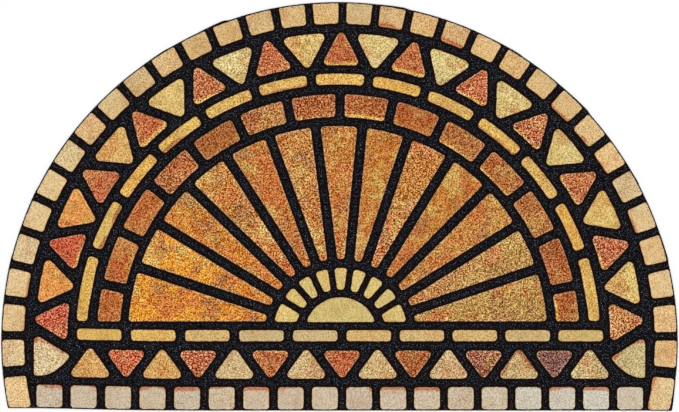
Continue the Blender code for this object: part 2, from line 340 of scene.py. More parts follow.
# Lint: the sides of a bit, its bend as a share of its length, how many spots are tried for each, how far
# it lies from a tile, and its sizes and tones
LINT_SIDES = 4
LINT_BEND = 0.2
LINT_TRIES = 6
LINT_GAP = 1.0 * MM
LINT_SIZES = (0.6, 1.3)
LINT_TONES = (0.25, 1.0)


def linear(channel):
    """One sRGB channel, 0 to 1, as linear light."""
    return channel / 12.92 if channel <= 0.04045 else ((channel + 0.055) / 1.055) ** 2.4


def rgb(hexcode):
    """An sRGB hex colour as three linear numbers."""
    return tuple(linear(int(hexcode[i:i + 2], 16) / 255) for i in (0, 2, 4))


def colour(name, description, hexcode):
    """A colour property, given in sRGB hex."""
    return FloatVectorProperty(
        name=name, description=description, subtype="COLOR", size=3, min=0, max=1, default=rgb(hexcode))


def length(name, description, default):
    """A length property, in metres."""
    return FloatProperty(
        name=name, description=description, unit="LENGTH", precision=5, min=0, default=default)


class MatSizes(bpy.types.PropertyGroup):
    """The mat's section, and how fine its surfaces are"""
    floor_height: length("Groove floor", "Height of the rubber between the tiles", 0.005)
    tile_height: length("Tile height", "Height of the flocked faces", 0.008)
    pad_height: length("Pad height", "Height of the rubber under the flock", 0.0072)
    wall_out: length("Wall foot", "How far a tile's wall stands out at its foot", 0.00045)
    wall_in: length("Wall top", "How far a tile's wall stands in under the flock", 0.00035)
    flock_depth: length("Flock depth", "How far the flock reaches down a tile's wall", 0.0013)
    flock_inset: length("Flock inset", "How far the flock stands back from the tile's edge", 0.0001)
    edge_round: length("Edge radius", "Rounding of a tile's upper edge", 0.001)
    crown: length("Crown", "How much higher a tile is in its middle", 0.00015)
    flock_grain: length("Flock grain", "Height of the flock's pebbled relief", 0.0003)
    flock_cell: length("Flock cell", "Spacing of the points on the flocked faces", 0.001)
    edge_wobble: length("Edge wobble", "How uneven the flock's edge runs", 0.0003)
    rubber_grain: length("Crumb grain", "Height of the crumb rubber's relief", 0.0003)
    rubber_cell: length("Crumb cell", "Spacing of the points in the grooves", 0.0014)
    rim_round: length("Rim radius", "Rounding of the mat's outer edge", 0.00015)
    lint_count: IntProperty(
        name="Lint", description="How many bits of lint lie in the grooves", min=0, default=1100)
    lint_length: length("Lint length", "Length of a bit of lint", 0.001)
    lint_width: length("Lint width", "Thickness of a bit of lint", 0.00022)


class PrintColours(bpy.types.PropertyGroup):
    """The colours of the rubber, the lint, the bare flock and the print"""
    rubber: colour("Rubber", "Black crumb rubber", "05060A")
    crumb: colour("Light crumbs", "Greyer crumbs in the rubber", "868E9E")
    # Painted shade: rubber at the foot of the tiles' walls is darkened with this colour, brown from ink as
    # well; the rim takes part of it
    wall: colour("Walls", "Rubber beside the tiles, with ink dust rubbed in", "1A0B04")
    # Bare flock: shown where the print thins, and laid on the tiles' edges as a painted highlight
    flock: colour("Bare flock", "Flock that the print misses", "E6D6B8")
    lint: colour("Lint", "Bits of lint in the grooves", "DAD8D6")
    olive: colour("Olive patch", "Yellow-olive patches in the print", "C9A658")
    rust_patch: colour("Rust patch", "Red-brown patches in the print", "BE622E")
    dusk: colour("Dusk patch", "Grey-brown patches in the print", "9C6838")


for ink_name, ink_hex in INKS.items():
    title = ink_name.replace("_", " ").capitalize()
    PrintColours.__annotations__[ink_name] = colour(title, "An ink of the print", ink_hex)


class StageSettings(bpy.types.PropertyGroup):
    """The floor, the light and the camera"""
    floor_size: length("Floor size", "Side of the square floor", 8.0)
    floor_depth: length("Floor depth", "Thickness of the floor", 0.02)
    floor_colour: colour("Floor", "Plain pale floor", "FEFEFE")
    sky: FloatProperty(name="Sky", description="Strength of the even light from all round", default=0.15)
    lamp_power: FloatProperty(
        name="Lamp", description="Power of the large soft lamp", unit="POWER", default=151.5)
    lamp_size: length("Lamp size", "Side of the square lamp", 2.0)
    lamp_height: length("Lamp height", "How far above the mat the lamp hangs", 4.0)
    camera_height: length("Camera height", "Height of the camera above the tiles", 3.0)
    frame_width: length("Frame width", "Width of the floor that the picture shows", 0.7639)
    view_up: length("View middle", "How far above the arch's centre the picture's middle is", 0.15174)


# Outlines, as lists of points about the arch's centre

def rounded(outline, radius):
    """An anticlockwise outline with an arc in place of each sharp corner."""
    points = []
    for i, corner in enumerate(outline):
        before = outline[i - 1]
        after = outline[(i + 1) % len(outline)]
        way_in = atan2(corner[1] - before[1], corner[0] - before[0])
        way_out = atan2(after[1] - corner[1], after[0] - corner[0])
        turn = (way_out - way_in + pi) % (2 * pi) - pi
        if degrees(turn) < LEAST_CORNER_TURN:
            points.append(corner)
            continue
        longest = CORNER_SHARE * min(dist(before, corner), dist(corner, after))
        back = min(radius * tan(turn / 2), longest)
        arc_radius = back / tan(turn / 2)
        start = (corner[0] - back * cos(way_in), corner[1] - back * sin(way_in))
        centre = (start[0] - arc_radius * sin(way_in), start[1] + arc_radius * cos(way_in))
        points += arc(centre, arc_radius, way_in - pi / 2, way_in - pi / 2 + turn, CORNER_STEPS)
    return points


def bent(angle, crowd):
    """A direction of the even pattern, in degrees, where the uneven one has it, in radians."""
    return radians(angle + PATTERN_TURN + crowd * sin(2 * radians(CLOSEST_AT - angle)))


def arc(centre, radius, start, end, steps):
    """Points round an arc, both ends included."""
    angles = [start + (end - start) * step / steps for step in range(steps + 1)]
    return [(centre[0] + radius * cos(a), centre[1] + radius * sin(a)) for a in angles]


def side_arc(centre, radius, start, end):
    """A tile's curved side, with no straight run that is too long."""
    return arc(centre, radius, start, end, max(1, ceil(abs(end - start) * radius / ARC_RUN)))


def rim_radius(way):
    """How far out the rim lies in a direction, in degrees."""
    return ARCH_RADIUS + sum(height * exp(-((way - at) / width) ** 2) for height, at, width in SWELLS)


def settled(x, y):
    """A point of the arches where the mould's unevenness puts it, at least a margin inside the rim."""
    y *= 1 + ARCH_RISE * (y > 0)
    way = degrees(atan2(y, x)) % 360
    out = hypot(x, y)
    swell = (rim_radius(way) - ARCH_RADIUS) * (out > SWELL_FROM)
    kept = min(out + swell, rim_radius(way) - RIM_MARGIN) / out
    return x * kept, y * kept


def edge_bend(x):
    """How much higher the straight edge, and a row along it, lie at a place."""
    reach = (x - BEND_START) / (BEND_END - BEND_START)
    return BEND * min(max(reach, 0), 1) ** 2


def tile_ends(ring, index, radius, lift):
    """The two directions, right then left, between which a ring's tile stands at a radius."""
    middle = TOP + (index - (ring.count - 1) / 2) * ring.pitch
    middle += ring.drift * exp(-((middle - DRIFT_AT) / DRIFT_WIDTH) ** 2)
    half = ring.pitch / 2 - degrees(asin(ring.groove / 2 / radius))
    left_foot = ring.foot + (BEND if ring.foot < 0 else 0)
    right = bent(middle - half, ring.crowd)
    left = bent(middle + half, ring.crowd)
    if index == 0:
        right = asin((ring.foot - lift) / radius)
        left -= radians(ring.end_gap)
    if index == ring.count - 1:
        right += radians(ring.end_gap)
        left = pi - asin((left_foot - lift) / radius)
    return right, left


def ring_tile(ring, index):
    """The outline of one tile of a ring: two arcs, joined by straight sides."""
    centre = (ring.shift, ring.lift)
    right, left = tile_ends(ring, index, ring.outer, ring.lift)
    outer_side = side_arc(centre, ring.outer, right, left)
    centre = ring.tips or centre
    right, left = tile_ends(ring, index, ring.inner, centre[1])
    inner_side = side_arc(centre, ring.inner, left, right)
    return [settled(x, y) for x, y in rounded(outer_side + inner_side, ring.corner)]


def zigzag_tile(zigzag, step):
    """The outline of one triangle of the zigzag, with its base curved as the arch is."""
    middle = TOP + (step - (ZIGZAG_STEPS - 1) / 2) * ZIGZAG_PITCH
    centre = (ZIGZAG_SHIFT, ZIGZAG_LIFT)
    right = bent(middle - zigzag.half, ZIGZAG_CROWD)
    left = bent(middle + zigzag.half, ZIGZAG_CROWD)
    point_way = bent(middle, ZIGZAG_CROWD)
    point = (centre[0] + zigzag.point * cos(point_way), centre[1] + zigzag.point * sin(point_way))
    if zigzag.point > zigzag.base:
        right, left = left, right
    base = arc(centre, zigzag.base, right, left, BASE_STEPS)
    return [settled(x, y) for x, y in rounded(base + [point], TRIANGLE_CORNER)]


def corner_piece(side):
    """The zigzag's piece in a corner of the mat; side is 1 on the right and -1 on the left."""
    nose = CORNER_PIECE_IN[side]
    outline = [(side * CORNER_PIECE_OUT, CORNER_PIECE_TOP)]
    for step in range(CORNER_PIECE_STEPS + 1):
        along = step / CORNER_PIECE_STEPS
        x = nose + (CORNER_PIECE_OUT - nose) * along
        y = CORNER_PIECE_NOSE + (CORNER_PIECE_FOOT - CORNER_PIECE_NOSE) * along
        outline.append((side * x, y - CORNER_PIECE_BELLY[side] * 4 * along * (1 - along)))
    outline = rounded(outline if side > 0 else outline[::-1], TRIANGLE_CORNER)
    return [(x, y + edge_bend(x)) for x, y in outline]


def sun():
    """The half sun: an arc that stands on its foot line."""
    foot = asin((SUN_FOOT - SUN_CENTRE_Y) / SUN_RADIUS)
    return rounded(arc((SUN_CENTRE_X, SUN_CENTRE_Y), SUN_RADIUS, foot, pi - foot, SUN_STEPS), SUN_CORNER)


def row_middles(row):
    """Where the tiles of a straight row stand along it, from left to right."""
    even_places = [(i - (row.count - 1) / 2) * row.pitch for i in range(row.count)]
    return [ROW_SHIFT + x + ROW_CROWD * cos(pi * x / ROW_REACH) for x in even_places]


def row_tile(row, x):
    """The outline of an oblong or triangular tile of a straight row."""
    far_side = [(x, row.far)] if row.pointed else [(x + row.half, row.far), (x - row.half, row.far)]
    outline = [(x - row.half, row.base), (x + row.half, row.base), *far_side]
    if row.far < row.base:
        outline.reverse()
    outline = rounded(outline, TRIANGLE_CORNER if row.pointed else ROW_CORNER)
    return [(px, py + edge_bend(px)) for px, py in outline]


def tile_outlines(kind):
    """The outlines of one kind of tile, from the left of the mat to its right."""
    if kind in RINGS:
        return [ring_tile(RINGS[kind], index) for index in reversed(range(RINGS[kind].count))]
    if kind in ZIGZAGS:
        steps = range(ZIGZAGS[kind].first, ZIGZAG_STEPS, 2)
        return [zigzag_tile(ZIGZAGS[kind], step) for step in reversed(steps)]
    if kind in ROWS:
        return [row_tile(ROWS[kind], x) for x in row_middles(ROWS[kind])]
    if kind == "corner_pieces":
        return [corner_piece(-1), corner_piece(1)]
    return [sun()]


def lump(past):
    """The form of a lump, 0 to 1: it rises steeply and falls away slowly, in degrees past its top."""
    return max(0.0, 1 + past / LUMP_RISE) if past < 0 else max(0.0, 1 - past / LUMP_FALL)


def mat_outline():
    """The edge of the mat: the arc with the mould's small lumps, closed by the straight edge."""
    right = -degrees(asin(EDGE_BELOW_CENTRE / ARCH_RADIUS))
    left = 180 + degrees(asin((EDGE_BELOW_CENTRE - BEND) / ARCH_RADIUS))
    points = []
    for step in range(ARCH_STEPS + 1):
        way = right + (left - right) * step / ARCH_STEPS
        out = rim_radius(way) + sum(height * lump(way - at) for at, height in RIM_LUMPS.items())
        points.append((out * cos(radians(way)), out * sin(radians(way))))
    start = points[-1][0]
    end = points[0][0]
    for step in range(1, EDGE_STEPS):
        x = start + (end - start) * step / EDGE_STEPS
        points.append((x, edge_bend(x) - EDGE_BELOW_CENTRE))
    return points


# Surfaces, worked out on numpy arrays of points

def even(outline, spacing, smoothings=SMOOTHINGS):
    """A closed outline at an even spacing, with its facets smoothed away or its corners kept."""
    corners = np.array(outline + outline[:1])
    along = np.concatenate(([0.0], np.cumsum(np.hypot(*np.diff(corners, axis=0).T))))
    places = np.linspace(0, along[-1], max(LEAST_POINTS, round(along[-1] / spacing)), endpoint=False)
    points = np.column_stack([np.interp(places, along, corners[:, axis]) for axis in (0, 1)])
    for _ in range(smoothings):
        points = (np.roll(points, 1, axis=0) + 2 * points + np.roll(points, -1, axis=0)) / 4
    return points


def outward(points):
    """The outward normals of an even, anticlockwise outline."""
    along = np.roll(points, -1, axis=0) - np.roll(points, 1, axis=0)
    along /= np.hypot(*along.T)[:, None]
    return np.column_stack((along[:, 1], -along[:, 0]))


def field(points, cell, seed):
    """Smooth noise, about -0.5 to 0.5, at each point, in cells of a real size."""
    return np.array([noise.noise(Vector((x / cell, y / cell, seed))) for x, y in points])


def wobbled(points, amount):
    """An outline whose edge runs as unevenly as cut pile does."""
    coarse = field(points, WOBBLE_CELL, WOBBLE_LAYER)
    fine = field(points, FINE_WOBBLE_CELL, FINE_WOBBLE_LAYER)
    return points + outward(points) * (amount * (coarse + FINE_WOBBLE * fine))[:, None]


def inside(points, outline):
    """Which points lie inside a closed outline."""
    x, y = points.T
    found = np.zeros(len(points), dtype=bool)
    for (x0, y0), (x1, y1) in zip(outline, np.roll(outline, -1, axis=0)):
        if y0 != y1:
            found ^= ((y0 > y) != (y1 > y)) & (x < (x1 - x0) * (y - y0) / (y1 - y0) + x0)
    return found


def nearest(points, outline):
    """How far each point lies from the nearest point of an outline."""
    return np.min(np.hypot(*(points[:, None, :] - outline[None, :, :]).transpose(2, 0, 1)), axis=1)


def nearest_of(points, others):
    """How far each point lies from the nearest of many others."""
    tree = KDTree(len(others))
    for i, (x, y) in enumerate(others):
        tree.insert((x, y, 0), i)
    tree.balance()
    return np.array([tree.find((x, y, 0))[2] for x, y in points])


def grid(lowest, highest, cell, rng):
    """Points on a shaken grid over a box."""
    xs = np.arange(lowest[0], highest[0] + cell, cell)
    ys = np.arange(lowest[1], highest[1] + cell, cell)
    points = np.stack(np.meshgrid(xs, ys), axis=-1).reshape(-1, 2)
    return points + rng.uniform(-JITTER, JITTER, points.shape) * cell


def ramp(value, low, high):
    """A smooth ramp from 0 at low to 1 at high."""
    t = np.clip((value - low) / (high - low), 0, 1)
    return t * t * (3 - 2 * t)


class Surface:
    """Points, faces and values of one mesh, gathered tile by tile."""

    def __init__(self):
        self.points = []
        self.faces = []
        self.values = {}
        self.count = 0

    def add(self, flat, heights, **values):
        """Adds points about the arch's centre and returns the number of the first."""
        first = self.count
        heights = np.broadcast_to(heights, len(flat))
        self.points.append(np.column_stack((flat[:, 0], flat[:, 1] + ARCH_CENTRE_Y, heights)))
        for name, value in values.items():
            shape = (len(flat), 4) if name == "ink" else (len(flat),)
            self.values.setdefault(name, []).append(np.broadcast_to(value, shape))
        self.count += len(flat)
        return first

    def wall(self, lower, upper, count):
        """Adds faces between two loops of the same count."""
        for i in range(count):
            j = (i + 1) % count
            self.faces.append((lower + i, lower + j, upper + j, upper + i))

    def shell(self, starts, count):
        """Adds faces between loops that lie one above the other, and closes the lowest."""
        for lower, upper in zip(starts, starts[1:]):
            self.wall(lower, upper, count)
        self.faces.append(tuple(range(starts[0] + count - 1, starts[0] - 1, -1)))

    def object(self, name, material):
        """Makes the object, with its values as attributes."""
        mesh = bpy.data.meshes.new(name)
        mesh.from_pydata(np.concatenate(self.points).tolist(), [], self.faces)
        for title, parts in self.values.items():
            is_colour = title == "ink"
            layer = mesh.attributes.new(title, "FLOAT_COLOR" if is_colour else "FLOAT", "POINT")
            data = np.concatenate(parts).astype(np.float32).ravel()
            layer.data.foreach_set("color" if is_colour else "value", data)
        mesh.materials.append(material)
        mesh.shade_smooth()
        mesh.set_sharp_from_angle(angle=radians(SHARP_FROM))
        mesh.validate()
        made = bpy.data.objects.new(name, mesh)
        bpy.context.collection.objects.link(made)
        return made


# The print

def blend(tones, other, share):
    """Tones with a share of another one laid over each. One tone is laid out for many shares."""
    return tones + (np.asarray(other) - tones) * np.expand_dims(share, -1)


def print_on(colours, kind, outline, points, cover_and_highlight, seed):
    """The ink that each point of a tile takes, as it displays, with alpha."""
    rng = np.random.default_rng(seed)
    ink = PRINTS[kind]
    middle = outline.mean(axis=0)
    sunward = np.array((0.0, 1.0)) if kind in STRAIGHT_KINDS else -middle / np.hypot(*middle)
    place = middle[0] / (ROW_TONES if kind in STRAIGHT_KINDS else np.hypot(*middle))
    across = [getattr(colours, name) for name in (ink.left, ink.middle, ink.middle, ink.right)]
    tone = np.array([np.interp(place, TONE_PLACES, channel) for channel in zip(*across)])
    tone = blend(tone, getattr(colours, ink.accent), ink.spread * rng.uniform())
    tone *= 1 + LIGHTNESS_SPREAD * rng.standard_normal()
    reached = outline @ sunward
    along = (points @ sunward - reached.min()) / np.ptp(reached)
    along += INK_RUN * field(points, INK_RUN_CELL, seed + OWN_LAYER)
    tones = blend(tone, getattr(colours, ink.sunny), ink.run * rng.uniform() * ramp(along, SUNNY_FROM, 1))
    for accent, layer in zip((colours.olive, colours.rust_patch, colours.dusk), PATCH_LAYERS):
        cloud = field(points, PATCH_CELL, layer) + FINE_PATCH * field(points, FINE_PATCH_CELL, layer + 1)
        tones = blend(tones, accent, ink.patch * ramp(cloud, *PATCH_EDGE))
    if rng.uniform() < ink.strips:
        reach = rng.uniform(*STRIP_REACH) * ramp(field(points, STRIP_CELL, STRIP_LAYER), *STRIP_STARTS)
        ahead = nearest(points, outline[outward(outline) @ sunward > FACES_SUN])
        share = STRIP_SHARE * (1 - ramp(ahead, reach - STRIP_EDGE, reach + STRIP_EDGE))
        tones = blend(tones, getattr(colours, ink.strip), share)
    # Bare flock shows where the print thins; on the tiles' edges this is partly a painted highlight
    tones = blend(tones, colours.flock, (1 - cover_and_highlight) * np.ones(len(points)))
    return np.column_stack((np.clip(tones, 0.0, 1.0) ** (1 / DISPLAY_GAMMA), np.ones(len(tones))))


# Materials

FLOCK_NAME = "Nylon flock, printed"


def add_node(tree, kind, inputs, **settings):
    """Adds a node; inputs go by socket name or number, each a value or another node's output.

    A Mix node of colours takes its factor as input 0 and them as 6 and 7, and its output 2 is the result.
    """
    node = tree.nodes.new(kind)
    for name, value in settings.items():
        setattr(node, name, value)
    for socket, value in inputs.items():
        if isinstance(value, bpy.types.NodeSocket):
            tree.links.new(value, node.inputs[socket])
        else:
            node.inputs[socket].default_value = value
    return node


def new_material(name):
    """A new material, what adds nodes to it, and the object's coordinates, which its patterns read."""
    material = bpy.data.materials.new(name)
    material.use_nodes = True
    material.node_tree.nodes.clear()
    add = partial(add_node, material.node_tree)
    return material, add, add("ShaderNodeTexCoord", {}).outputs["Object"]


def printed_flock():
    """Nylon flock, set upright in an electric field and printed with heat.

    The short upright fibres scatter light with almost no gloss and a faint sheen at low angles. Ink
    sinks in unevenly, so dark and pale flecks 1 to 2 mm across sit side by side. Single fibres are
    too fine to show, so the finest grain is tufts of them, 1 mm across.
    """
    material, add, here = new_material(FLOCK_NAME)
    ink = add("ShaderNodeAttribute", {}, attribute_name="ink").outputs["Color"]
    mottle = add("ShaderNodeAttribute", {}, attribute_name="mottle").outputs["Fac"]
    flecks = add("ShaderNodeTexNoise", {
        "Vector": here, "Scale": 1 / FLECK_CELL, "Detail": 0.0}).outputs["Fac"]
    tufts = add("ShaderNodeTexVoronoi", {"Vector": here, "Scale": 1 / TUFT_CELL}).outputs["Color"]
    grain = add("ShaderNodeMix", {"A": flecks, "B": tufts, "Factor": TUFT_SHARE},
                data_type="FLOAT").outputs["Result"]
    low, high = FLECK_LIMITS
    steps = add("ShaderNodeMapRange", {
        "Value": grain, "From Min": NOISE_MIDDLE + low / FLECK_GAIN,
        "From Max": NOISE_MIDDLE + high / FLECK_GAIN, "To Min": low, "To Max": high}).outputs["Result"]
    highest = add("ShaderNodeMath", {0: mottle, 1: PALE_RISE, 2: PALE_STEPS},
                  operation="MULTIPLY_ADD").outputs[0]
    held = add("ShaderNodeMath", {0: steps, 1: highest}, operation="MINIMUM").outputs[0]
    change = add("ShaderNodeMath", {0: held, 1: mottle}, operation="MULTIPLY").outputs[0]
    flecked = add("ShaderNodeMix", {0: 1.0, 6: ink, 7: change},
                  data_type="RGBA", blend_type="ADD", clamp_result=True).outputs[2]
    dyed = add("ShaderNodeGamma", {"Color": flecked, "Gamma": DISPLAY_GAMMA})
    bump = add("ShaderNodeBump", {"Height": flecks, "Strength": 0.4, "Distance": 0.3 * MM})
    shader = add("ShaderNodeBsdfPrincipled", {
        "Base Color": dyed.outputs["Color"], "Normal": bump.outputs["Normal"], "Roughness": 0.95,
        "Specular IOR Level": 0.03, "Sheen Weight": 0.02, "Sheen Roughness": 0.5})
    add("ShaderNodeOutputMaterial", {"Surface": shader.outputs["BSDF"]})
    return material


def crumb_rubber(colours):
    """Recycled crumb rubber, pressed in a hot mould.

    Granules of 1 to 2 mm show as a dull, slightly bluish black with greyer crumbs here and there.
    Beside the tiles it is darker, a painted shade at the foot of their walls, and a little brown from the
    ink.
    """
    material, add, here = new_material("Crumb rubber, moulded")
    # Painted shade beside the tiles: the 'wall' value is 1 on the pads' walls and fades out across the
    # groove floor
    beside = add("ShaderNodeAttribute", {}, attribute_name="wall").outputs["Fac"]
    grains = add("ShaderNodeTexNoise", {
        "Vector": here, "Scale": 1 / CRUMB_CELL, "Detail": 2.0, "Roughness": 0.7})
    light = add("ShaderNodeMapRange", {
        "Value": grains.outputs["Fac"], "From Min": CRUMB_LIGHT[0],
        "From Max": CRUMB_LIGHT[1]}).outputs["Result"]
    body = add("ShaderNodeMix", {
        0: light, 6: (*colours.rubber, 1.0), 7: (*colours.crumb, 1.0)}, data_type="RGBA").outputs[2]
    tinted = add("ShaderNodeMix", {0: CRUMB_TINT, 6: body, 7: grains.outputs["Color"]},
                 data_type="RGBA", blend_type="OVERLAY").outputs[2]
    with_painted_shade = add("ShaderNodeMix", {0: beside, 6: tinted, 7: (*colours.wall, 1.0)},
               data_type="RGBA").outputs[2]
    bump = add("ShaderNodeBump", {"Height": grains.outputs["Fac"], "Strength": 0.6, "Distance": 0.5 * MM})
    shader = add("ShaderNodeBsdfPrincipled", {
        "Base Color": with_painted_shade, "Normal": bump.outputs["Normal"], "Roughness": 0.8,
        "Specular IOR Level": 0.03})
    add("ShaderNodeOutputMaterial", {"Surface": shader.outputs["BSDF"]})
    return material


def pale_floor(paint):
    """Matt white painted board: smooth, with the faintest orange peel from the roller."""
    material, add, here = new_material("White board, painted")
    peel = add("ShaderNodeTexNoise", {"Vector": here, "Scale": 1 / PEEL_CELL, "Detail": 1.0})
    tone = add("ShaderNodeMapRange", {
        "Value": peel.outputs["Fac"], "To Min": PEEL_TONES[0], "To Max": PEEL_TONES[1]}).outputs["Result"]
    painted = add("ShaderNodeMix", {0: 1.0, 6: (*paint, 1.0), 7: tone},
                  data_type="RGBA", blend_type="MULTIPLY").outputs[2]
    shader = add("ShaderNodeBsdfPrincipled", {
        "Base Color": painted, "Roughness": 0.9, "Specular IOR Level": 0.2})
    add("ShaderNodeOutputMaterial", {"Surface": shader.outputs["BSDF"]})
    return material


def flock_material():
    """The flock's material, made once for all the tiles and the lint."""
    return bpy.data.materials.get(FLOCK_NAME) or printed_flock()


# Pieces

def flock_tile(surface, outline, kind, sizes, colours, rng):
    """Adds the flock of one tile: foot, rounded edge and pebbled face, closed underneath."""
    seed = int(rng.integers(TILE_SEEDS))
    mottle = PRINTS[kind].mottle * (1 + MOTTLE_SPREAD * rng.uniform(-1, 1))
    edge = wobbled(even(outline, sizes.flock_cell), sizes.edge_wobble)
    normals = outward(edge)
    round_height = sizes.tile_height - sizes.edge_round
    # From the foot up over the rounded edge the flock is paler: partly thinner print, partly a painted
    # highlight
    loops = [(0.0, sizes.tile_height - sizes.flock_depth, FOOT_COVER_AND_HIGHLIGHT)]
    for turn in EDGE_TURNS:
        lean = sizes.edge_round * (1 - cos(radians(turn)))
        height = round_height + sizes.edge_round * sin(radians(turn))
        cover_and_highlight = EDGE_COVER_AND_HIGHLIGHT + (NEAR_EDGE_COVER_AND_HIGHLIGHT - EDGE_COVER_AND_HIGHLIGHT) * turn / EDGE_TURNS[-1]
        loops.append((lean, height, cover_and_highlight))
    starts = []
    for lean, height, cover_and_highlight in loops:
        flat = edge - normals * (sizes.flock_inset + lean)
        ink = print_on(colours, kind, edge, flat, cover_and_highlight, seed)
        rise = sizes.flock_grain * (height - loops[0][1]) / sizes.flock_depth
        heights = height + rise * field(flat, PEBBLE_CELL, PEBBLE_LAYER)
        starts.append(surface.add(flat, heights, ink=ink, mottle=mottle))
        last = flat
    surface.shell(starts, len(edge))
    points = grid(last.min(axis=0), last.max(axis=0), sizes.flock_cell, rng)
    points = points[inside(points, last)]
    points = points[nearest(points, last) > LEAST_GAP * sizes.flock_cell]
    from_edge = nearest(points, edge)
    pebble = field(points, PEBBLE_CELL, PEBBLE_LAYER) + PEBBLE_CHANCE * rng.uniform(-1, 1, len(points))
    heights = sizes.tile_height + sizes.crown * ramp(from_edge, 0, CROWN_RUN) + sizes.flock_grain * pebble
    # The face's outer band keeps some bare flock, partly a painted highlight on the edge
    cover_and_highlight = NEAR_EDGE_COVER_AND_HIGHLIGHT + (1 - NEAR_EDGE_COVER_AND_HIGHLIGHT) * ramp(from_edge, sizes.edge_round, FACE_BEGINS)
    ink = print_on(colours, kind, edge, points, cover_and_highlight, seed)
    surface.add(points, heights, ink=ink, mottle=mottle)
    flat = [Vector(p) for p in np.concatenate((last, points))]
    border = [list(range(len(last)))]
    _, _, triangles, *_ = delaunay_2d_cdt(flat, [], border, FILL_INSIDE, SAME_POINT, True)
    surface.faces += [tuple(starts[-1] + i for i in face) for face in triangles]


def add_flock(context, *kinds):
    """Makes the flock of all tiles of each kind, as one piece a kind."""
    sizes = context.scene.doormat_sizes
    colours = context.scene.doormat_colours
    for kind in kinds:
        rng = np.random.default_rng(list(PRINTS).index(kind))
        surface = Surface()
        for outline in tile_outlines(kind):
            flock_tile(surface, outline, kind, sizes, colours, rng)
        piece = surface.object(f"flock_{kind}", flock_material())
        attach(piece, "root")


class DOORMAT_OT_flock_sunburst(bpy.types.Operator):
    """Adds the flock of the half sun, its short bricks and its rays"""
    bl_idname = "doormat.flock_sunburst"
    bl_label = "Sunburst"

    def execute(self, context):
        add_flock(context, "sun", "short_bricks", "rays")
        return {"FINISHED"}


class DOORMAT_OT_flock_arches(bpy.types.Operator):
    """Adds the flock of the arches of bricks, bars and rim squares"""
    bl_idname = "doormat.flock_arches"
    bl_label = "Arches"

    def execute(self, context):
        add_flock(context, "bricks", "bars", "squares")
        return {"FINISHED"}


class DOORMAT_OT_flock_zigzag(bpy.types.Operator):
    """Adds the flock of the zigzag's triangles and its corner pieces"""
    bl_idname = "doormat.flock_zigzag"
    bl_label = "Zigzag"

    def execute(self, context):
        add_flock(context, "zigzag_red", "zigzag_pale", "corner_pieces")
        return {"FINISHED"}


class DOORMAT_OT_flock_foot_rows(bpy.types.Operator):
    """Adds the flock of the straight rows of bars, triangles and squares"""
    bl_idname = "doormat.flock_foot_rows"
    bl_label = "Foot rows"

    def execute(self, context):
        add_flock(context, "foot_bars", "foot_pale", "foot_red", "foot_squares")
        return {"FINISHED"}


def groove_points(points, outlines, gap):
    """The points that lie outside every outline by a gap."""
    kept = np.ones(len(points), dtype=bool)
    for outline in outlines:
        low = outline.min(axis=0) - gap
        high = outline.max(axis=0) + gap
        near = np.flatnonzero(np.all((points > low) & (points < high), axis=1))
        here = points[near]
        kept[near[inside(here, outline) | (nearest(here, outline) < gap)]] = False
    return points[kept]


def add_rim(surface, sizes):
    """Adds the flat underside and the upright rim, and returns its upper edge and that loop's start."""
    rim = even(mat_outline(), sizes.rubber_cell, smoothings=0)
    rim = rim + outward(rim) * (RIM_WOBBLE * field(rim, RIM_WOBBLE_CELL, RIM_LAYER))[:, None]
    normals = outward(rim)
    turned = sizes.rim_round
    section = [(-turned, 0.0), (0.0, turned), (0.0, sizes.floor_height - turned),
               (-turned, sizes.floor_height)]
    starts = [surface.add(rim + normals * out, height, wall=RIM_BROWN) for out, height in section]
    surface.shell(starts, len(rim))
    return rim - normals * turned, starts[-1]


def add_pad(surface, sizes, outline):
    """Adds the rubber pad under one tile's flock, and returns its foot and that loop's start."""
    pad = even(outline, sizes.rubber_cell)
    foot = pad + outward(pad) * sizes.wall_out
    # The pads' walls take the full painted shade of the wall colour
    low = surface.add(foot, sizes.floor_height, wall=1.0)
    top = surface.add(pad - outward(pad) * sizes.wall_in, sizes.pad_height, wall=1.0)
    surface.wall(low, top, len(pad))
    surface.faces.append(tuple(range(top, top + len(pad))))
    return foot, low


def add_groove_floor(surface, sizes, rim, pads):
    """Adds the crumbly floor between the rim and the pads, which are each a loop and its start."""
    rng = np.random.default_rng(RUBBER_SEED)
    cell = sizes.rubber_cell
    edge = rim[0]
    feet = [foot for foot, _ in pads]
    points = grid(edge.min(axis=0), edge.max(axis=0), cell, rng)
    points = points[inside(points, edge)]
    points = points[nearest_of(points, edge) > LEAST_GAP * cell]
    points = groove_points(points, feet, LEAST_GAP * cell)
    from_wall = nearest_of(points, np.concatenate(feet))
    lumps = field(points, LUMP_CELL, LUMP_LAYER) + LUMP_CHANCE * rng.uniform(-1, 1, len(points))
    heights = sizes.floor_height + sizes.rubber_grain * lumps
    # The groove floor takes painted shade near the tiles' feet, fading out away from them
    first = surface.add(points, heights, wall=1 - ramp(from_wall, *WALL_SHADE_FADE))
    parts = [rim, *pads, (points, first)]
    number = np.concatenate([np.arange(start, start + len(part)) for part, start in parts])
    ends = np.cumsum([len(part) for part, _ in parts])
    loops = [list(range(end - len(part), end)) for (part, _), end in zip(parts[:-1], ends)]
    flat = [Vector(p) for p in np.concatenate([part for part, _ in parts])]
    found, _, faces, _, _, owners = delaunay_2d_cdt(flat, [], loops, FILL_INSIDE, SAME_POINT, True)
    if len(found) != len(flat):
        raise RuntimeError("the pads' outlines cross each other or the rim")
    for face, owner in zip(faces, owners):
        # The rim is loop 0. A face inside a pad has that pad's number too, and is left out.
        if list(owner) == [0]:
            surface.faces.append(tuple(int(number[i]) for i in face))


